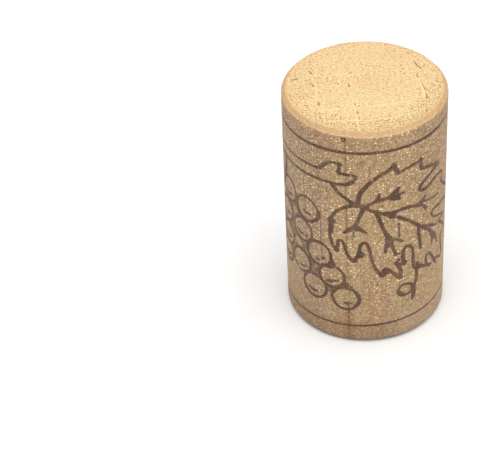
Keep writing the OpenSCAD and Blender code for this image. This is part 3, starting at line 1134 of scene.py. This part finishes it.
class Wood(Paint):
    """The wood's paint, with what its layers share: places, parts of the stopper, and fibres."""

    def __init__(self):
        super().__init__(bpy.data.materials.new("pale_wood"), "Principled BSDF")
        at = self.take("TexCoord", "Object") * ((1 / MM,) * 3)
        self.at = at
        self.x, self.y, self.z = self.split("SeparateXYZ", vector=at)
        self.flat = at * (1, 1, 0)
        normal = self.take("NewGeometry", "True Normal")
        faces = abs(self.split("SeparateXYZ", vector=normal)[2])
        self.end = faces.step(*END_FACES)
        self.side = 1.0 - self.end
        self.shank = faces.step(*SHANK_FACES, 1, 0)
        self.bevel = self.side * (1.0 - self.shank)
        self.fibre = self.noise(at * (1, 1, 0.055), 2.6, 4, 0.65)
        self.hair = self.noise(at * (1, 1, 0.12), 7, 2)
        sway = self.noise(at * UP, 0.2, 2)
        self.s = self.math("ARCTAN2", self.x, self.y * -1.0) * RADIUS + (sway - 0.5) * STREAK_SWAY


def growth(wood):
    """The wood's own colour, in broad patches, fine fibres and growth rings, which are thin pale lines."""
    at, end, side = wood.at, wood.end, wood.side
    waver = wood.noise(at * (1, 1, 0.02), 0.16, 3)
    far = wood.math("DISTANCE", wood.flat, PITH)
    turn = wood.math("FRACT", (far + waver * RING_WAVER) / RING_WIDTH)
    line = turn.step(0.86, 0.93) * turn.step(0.93, 1, 1, 0)
    patch = wood.noise(at * (1, 1, 0.25), 0.14, 3)
    blush = wood.noise(at * (1, 1, 0.45), 0.5, 3, 0.6)
    wood.colour = wood.mix(side, PALE_WOOD, SHANK_WOOD)
    wood.coat(WARM_WOOD, patch.step(0.35, 0.68) * (side * 0.6 + 0.25))
    wood.coat(PINK_WOOD, blush.step(0.42, 0.68) * (side * 0.75))
    wood.coat(GREY_WOOD, wood.fibre.step(0.35, 0.75) * (side * 0.4))
    wood.coat(WARM_WOOD, turn.step(0.2, 0.9) * 0.1)
    wood.coat(RING_WOOD, line * (end * 0.15 + 0.1))
    wood.coat(STREAK_AND_SHADE_BROWN, wood.hair.step(0.56, 0.72) * (side * 0.18))


def edges(wood):
    """The tones of the bevels and of the ends, with a broken painted highlight along the bevels' outer edge
    and painted light at the foot.
    """
    at, x, y, z, end, side = wood.at, wood.x, wood.y, wood.z, wood.end, wood.side
    streaked = wood.noise(at * (0.5, 0.5, 5), 1, 3, 0.6)
    wood.coat(BEVEL_WOOD, wood.bevel * streaked.step(0.3, 0.65, 1, 0.55))
    far = wood.math("DISTANCE", wood.flat, (0.0, 0.0, 0.0))
    wide, faint = WIDE_RIM
    wood.coat(BEVEL_WOOD, far.step(FACE_RADIUS - wide, FACE_RADIUS) * end * faint)
    warm = far.step(8, 11) + y.step(-5, 4) + x.step(-9.5, -6.5, 1.2, 0)
    wood.coat(WARM_WOOD, warm * end * END_WARMTH)
    middle, half, strength = SMUDGE
    wood.coat(WARM_WOOD, wood.blot((x, y), middle, half, strength, 0) * end)
    narrow, strong = NARROW_RIM
    wood.coat(BEVEL_WOOD, far.step(FACE_RADIUS - narrow, FACE_RADIUS) * end * strong)
    from_end = LENGTH / 2 - abs(z - LENGTH / 2)
    # A broken painted highlight along each bevel's outer edge
    lit = wood.noise(at, 0.7, 3, 0.7).step(0.34, 0.56, 0.15, 0.9)
    wood.coat(PAINTED_EDGE_HIGHLIGHT, abs(from_end - BEVEL_RUN).step(*EDGE_LINE, 1, 0) * lit)
    # Painted light along the lowest millimetre of the side, lightening the shade of the lower bevel
    wood.coat(PAINTED_FOOT_LIGHT, z.step(0.3, 1, 0.85, 0) * side)


def grit_and_painted_shading(wood):
    """Fine grit, light and dark. On the ends it is the grain's own tone and lies along the rings. On the
    shank and the bevels, which have a little less, it is painted highlight and shade of the fine grain, and
    the side's foot gets painted shade.
    """
    side_grain_shading = wood.noise(wood.at * (1, 1, 1.3), 3.4, 3, 0.75)
    end_grit = wood.noise(wood.at * (0.8, 1.5, 0), 3, 3, 0.75)
    # On the shank and the bevels the light and dark grit is painted highlight and painted shade of the fine
    # grain; on the ends it is the grain's own tone
    for fine, share, dark, light, tint in ((side_grain_shading, wood.shank, 0.36, 0.22, PAINTED_GLINT),
                                           (end_grit, wood.end, 0.44, 0.7, END_LIGHT),
                                           (side_grain_shading, wood.bevel, 0.3, 0.2, PAINTED_GLINT)):
        wood.coat(STREAK_AND_SHADE_BROWN, fine.step(0.34, 0.54, dark, 0) * share)
        wood.coat(tint, fine.step(0.48, 0.64, 0, light) * share)
    # Cells of painted glint and painted shade on the shank
    painted_speck = wood.cells(wood.at * (1, 1, 0.8), 5.2)[1]
    wood.coat(STREAK_AND_SHADE_BROWN, painted_speck.step(0, 0.4, 0.5, 0) * wood.shank)
    wood.coat(PAINTED_GLINT, painted_speck.step(0.6, 1, 0, 0.85) * wood.shank)
    # Painted shade near the floor: the side is darker towards its foot
    wood.coat(STREAK_AND_SHADE_BROWN, wood.z.step(0, 5, 0.3, 0) * wood.side)


def stains_and_tints(wood):
    """Brown streaks along the side, dark specks, and broad tinted parts."""
    s, z, shank = wood.s, wood.z, wood.shank
    broken = wood.noise(wood.at * (1, 1, 0.35), 1.6, 2).step(0.3, 0.62, 0.45, 1)
    stain = 0.0
    for way, lean, half, strength, low, high in STREAKS:
        across = abs(s - (z * lean + (way - lean * LENGTH / 2))).step(0, half * 2, strength, 0)
        ends = z.step(low, low + STREAK_FADE) * z.step(high - STREAK_FADE, high, 1, 0)
        stain = across * ends + stain
    wood.coat(STREAK_AND_SHADE_BROWN, stain * shank * broken)
    for way, high, wide, tall, strength in SPECKS:
        wood.coat(SPECK_BROWN, wood.blot((s, z), (way, high), (wide, tall), strength, 0) * shank)
    for tint, (start, full, fades, gone), heights, strength in TINTED_PARTS:
        part = s.step(start, full) * s.step(fades, gone, 1, 0) * z.step(*heights)
        wood.coat(tint, part * shank * strength)


def end_pores(wood):
    """The pores, cracks and lips of the ends. Returns the finest pores, which the mesh doesn't have."""
    distance, chance, *_ = wood.cells(wood.flat, 3.3)
    crowd = wood.noise(wood.flat, 0.33, 2)
    shown = chance.step(0.1, 0.9, 0.15, 0.8) * crowd.step(0.35, 0.6, 0.4, 1)
    tube = distance.step(0.16, 0.34, 1, 0) * shown * wood.end
    wood.coat(PORE_BROWN, tube * 0.75)
    wood.coat(PORE_BROWN, wood.value_of("pit").step(0.01, 0.035) * 0.92)
    wood.coat(RING_WOOD, wood.value_of("lip") * 0.8)
    return tube


def ink(wood):
    """The print, worn a little and of an uneven colour. Returns how far each place is inked."""
    at = wood.at
    edge = (wood.noise(at * (1, 1, 0.45), 4.5, 3, 0.6) - 0.5) * 0.28
    lines = (wood.value_of("ink") + edge).step(-0.15, 0.02)
    ground = (wood.value_of("ground") + edge).step(-0.06, 0.06)
    stipple = wood.noise(at, 3.2, 2, 0.6).step(0.36, 0.6, 0.95, 0.45)
    worn = wood.noise(at, 4.5, 2).step(0.28, 0.5, 0.82, 1)
    pale = wood.noise(at, 0.25, 2).step(0.3, 0.65, 0.84, 1)
    inked = wood.math("MAXIMUM", lines, ground * stipple) * wood.side * (worn * pale)
    for way, high, wide, tall, strength in THIN_INK:
        inked = inked * wood.blot((wood.s, wood.z), (way, high), (wide, tall), 1 - strength, 1)
    tone = wood.mix(wood.noise(at, 0.55, 3, 0.6).step(0.46, 0.62), PURPLE_INK, OLIVE_INK)
    cast = wood.noise(at * (1, 1, 1.1), 1.1, 3, 0.65)
    tone = wood.mix(cast.step(0.52, 0.66, 0, 0.95), tone, BROWN_INK)
    tone = wood.mix(cast.step(0.34, 0.48, 0.95, 0), tone, VIOLET_INK)
    wood.coat(tone, inked)
    return inked


def scales(wood, inked):
    """Small lifted scales on the side, of many sizes, which lean back and catch the light from above. Their
    colour is lightened too, as a painted glint.

    There are more at both sides of the front, and fewer at the foot and on the ink. Returns where they are
    and how far they lean.
    """
    ragged = (wood.noise(wood.at, 5, output="Color") - HALF) * SCALE_RAGGED
    distance, chance, size, lean = wood.cells((wood.at + ragged) * (1, 1, 1.35), SCALE_CROWD)
    over = distance - size.step(0, 1, *SCALE_SIZE)
    start, full, fades, gone = ASIDE
    aside = abs(wood.s - FRONT)
    aside = aside.step(start, full, 0, ASIDE_MORE) * aside.step(fades, gone, 1, 0)
    chance = aside * wood.z.step(9, 18) + chance
    fleck = over.step(-0.04, 0.02, 1, 0) * chance.step(0.29, 0.6) * wood.z.step(0.5, 11, 0.45, 1)
    fleck = fleck * wood.shank * inked.step(0, 1, 1, 0.22)
    # The scales are lightened in colour as well: a painted glint
    wood.coat(PAINTED_GLINT, fleck * 0.9)
    return fleck, lean.step(0.2, 0.9, *SCALE_LEAN) + aside * ASIDE_LEAN


def relief(wood, tube, lifted):
    """The normal, from the fine relief and from how far each grain and scale tilts."""
    nap = wood.noise(wood.at * (1, 1, 0.4), 4.5, 3, 0.6)
    tall = nap * NAP + wood.hair * HAIR
    rough = wood.noise(wood.flat, 3.6, 3, 0.7) * END_GRAIN + tube * TUBE
    height = wood.mix(wood.end, tall, rough, "FLOAT")
    bump = wood.take("Bump", "Normal", height=height, strength=1.0, distance=MM)
    tilt = (wood.noise(wood.at, 3, output="Color") - HALF) * wood.shank.step(0, 1, *GRAIN_TILT)
    spaces = {"vector_type": "VECTOR", "convert_from": "OBJECT", "convert_to": "WORLD"}
    tilt = wood.take("VectorTransform", 0, spaces, vector=tilt + lifted * UP)
    return wood.math("NORMALIZE", bump + tilt)


def wood_material():
    wood = Wood()
    growth(wood)
    edges(wood)
    grit_and_painted_shading(wood)
    stains_and_tints(wood)
    tube = end_pores(wood)
    inked = ink(wood)
    fleck, lean = scales(wood, inked)
    wood.show({
        "Base Color": wood.colour,
        "Roughness": wood.fibre.step(0.3, 0.7, 0.56, 0.7) - fleck * 0.2,
        "Metallic": fleck * SCALE_SHINE,
        "Specular IOR Level": WOOD_SPECULAR,
        "Normal": relief(wood, tube, fleck * lean),
    })
    return wood.owner


# ---------------------------------------------------------------- floor, light and camera

# The floor: its width in metres, how white it shows, and how much of the light it sends back
FLOOR_SIZE = 3.0
SHOWN_WHITE = 0.97
BOUNCED = 0.3
# The kinds of ray that see the floor and the sky as they show
RAYS = ("Camera", "Glossy", "Transmission")


def added(name, data):
    """A new object of the scene."""
    made = bpy.data.objects.new(name, data)
    bpy.context.scene.collection.objects.link(made)
    return made


def direct_ray(paint):
    """1 for a camera, mirror or glass ray, and 0 for others."""
    camera, mirror, glass = (paint.take("LightPath", f"Is {ray} Ray") for ray in RAYS)
    return paint.math("MAXIMUM", paint.math("MAXIMUM", camera, mirror), glass)


def add_floor():
    """A white floor. It shows as white, but sends less light back to the wood."""
    half = FLOOR_SIZE / 2
    sheet = bpy.data.meshes.new("floor")
    corners = [(-half, -half, 0), (half, -half, 0), (half, half, 0), (-half, half, 0)]
    sheet.from_pydata(corners, [], [(0, 1, 2, 3)])
    paint = Paint(bpy.data.materials.new("white_floor"), "Principled BSDF")
    shown, bounced = (SHOWN_WHITE,) * 3 + (1,), (BOUNCED,) * 3 + (1,)
    white = paint.mix(direct_ray(paint), bounced, shown)
    paint.show({"Base Color": white, "Roughness": 1.0, "Specular IOR Level": 0.0})
    sheet.materials.append(paint.owner)
    added("floor", sheet)


# The strengths of the sky and the lamp, and the lamp's width and tilts in degrees
SKY = 0.32
SUN = 2.78
SUN_ANGLE = 74
SUN_TILT = (9, 3, 0)


def add_light():
    """A wide soft light overhead, and a dim even sky that shows as white."""
    bpy.context.scene.world = bpy.data.worlds.new("sky")
    sky = Paint(bpy.context.scene.world, "Background")
    sky.show({"Color": (1, 1, 1, 1), "Strength": direct_ray(sky).step(0, 1, SKY, 1)})
    lamp = bpy.data.lights.new("overhead", "SUN")
    lamp.energy = SUN
    lamp.angle = math.radians(SUN_ANGLE)
    added("overhead", lamp).rotation_euler = [math.radians(tilt) for tilt in SUN_TILT]


# The camera, as worked out from the photo: place in metres, angles in radians. Blender counts a lens
# in the millimetres of its sensor.
CAMERA_AT = Vector((0.0, -0.2143, 0.18533))
CAMERA_YAW = -0.0799
CAMERA_PITCH = 0.6792
CAMERA_ROLL = 0.0539
FOCAL_PIXELS = 1847.0
PHOTO_WIDTH = 500
SENSOR = 36.0
CLIP = (0.01, 10)


def add_camera():
    yaw, pitch, roll = CAMERA_YAW, CAMERA_PITCH, CAMERA_ROLL
    ahead = Vector((math.sin(yaw) * math.cos(pitch), math.cos(yaw) * math.cos(pitch), -math.sin(pitch)))
    level = Vector((math.cos(yaw), -math.sin(yaw), 0))
    down = ahead.cross(level)
    right = math.cos(roll) * level + math.sin(roll) * down
    up = math.sin(roll) * level - math.cos(roll) * down
    data = bpy.data.cameras.new("camera")
    data.sensor_width = SENSOR
    data.lens = FOCAL_PIXELS * SENSOR / PHOTO_WIDTH
    data.clip_start, data.clip_end = CLIP
    camera = added("camera", data)
    camera.matrix_world = Matrix.Translation(CAMERA_AT) @ Matrix((right, up, -ahead)).transposed().to_4x4()
    bpy.context.scene.camera = camera


# ---------------------------------------------------------------- the scene

def add_stopper():
    mesh = stopper_mesh()
    mesh.materials.append(wood_material())
    stopper = added("stopper_wood", mesh)
    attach(stopper, "root")
    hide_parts(NODE)


add_stopper()
add_floor()
add_light()
add_camera()
bpy.context.scene.view_settings.view_transform = "Standard"
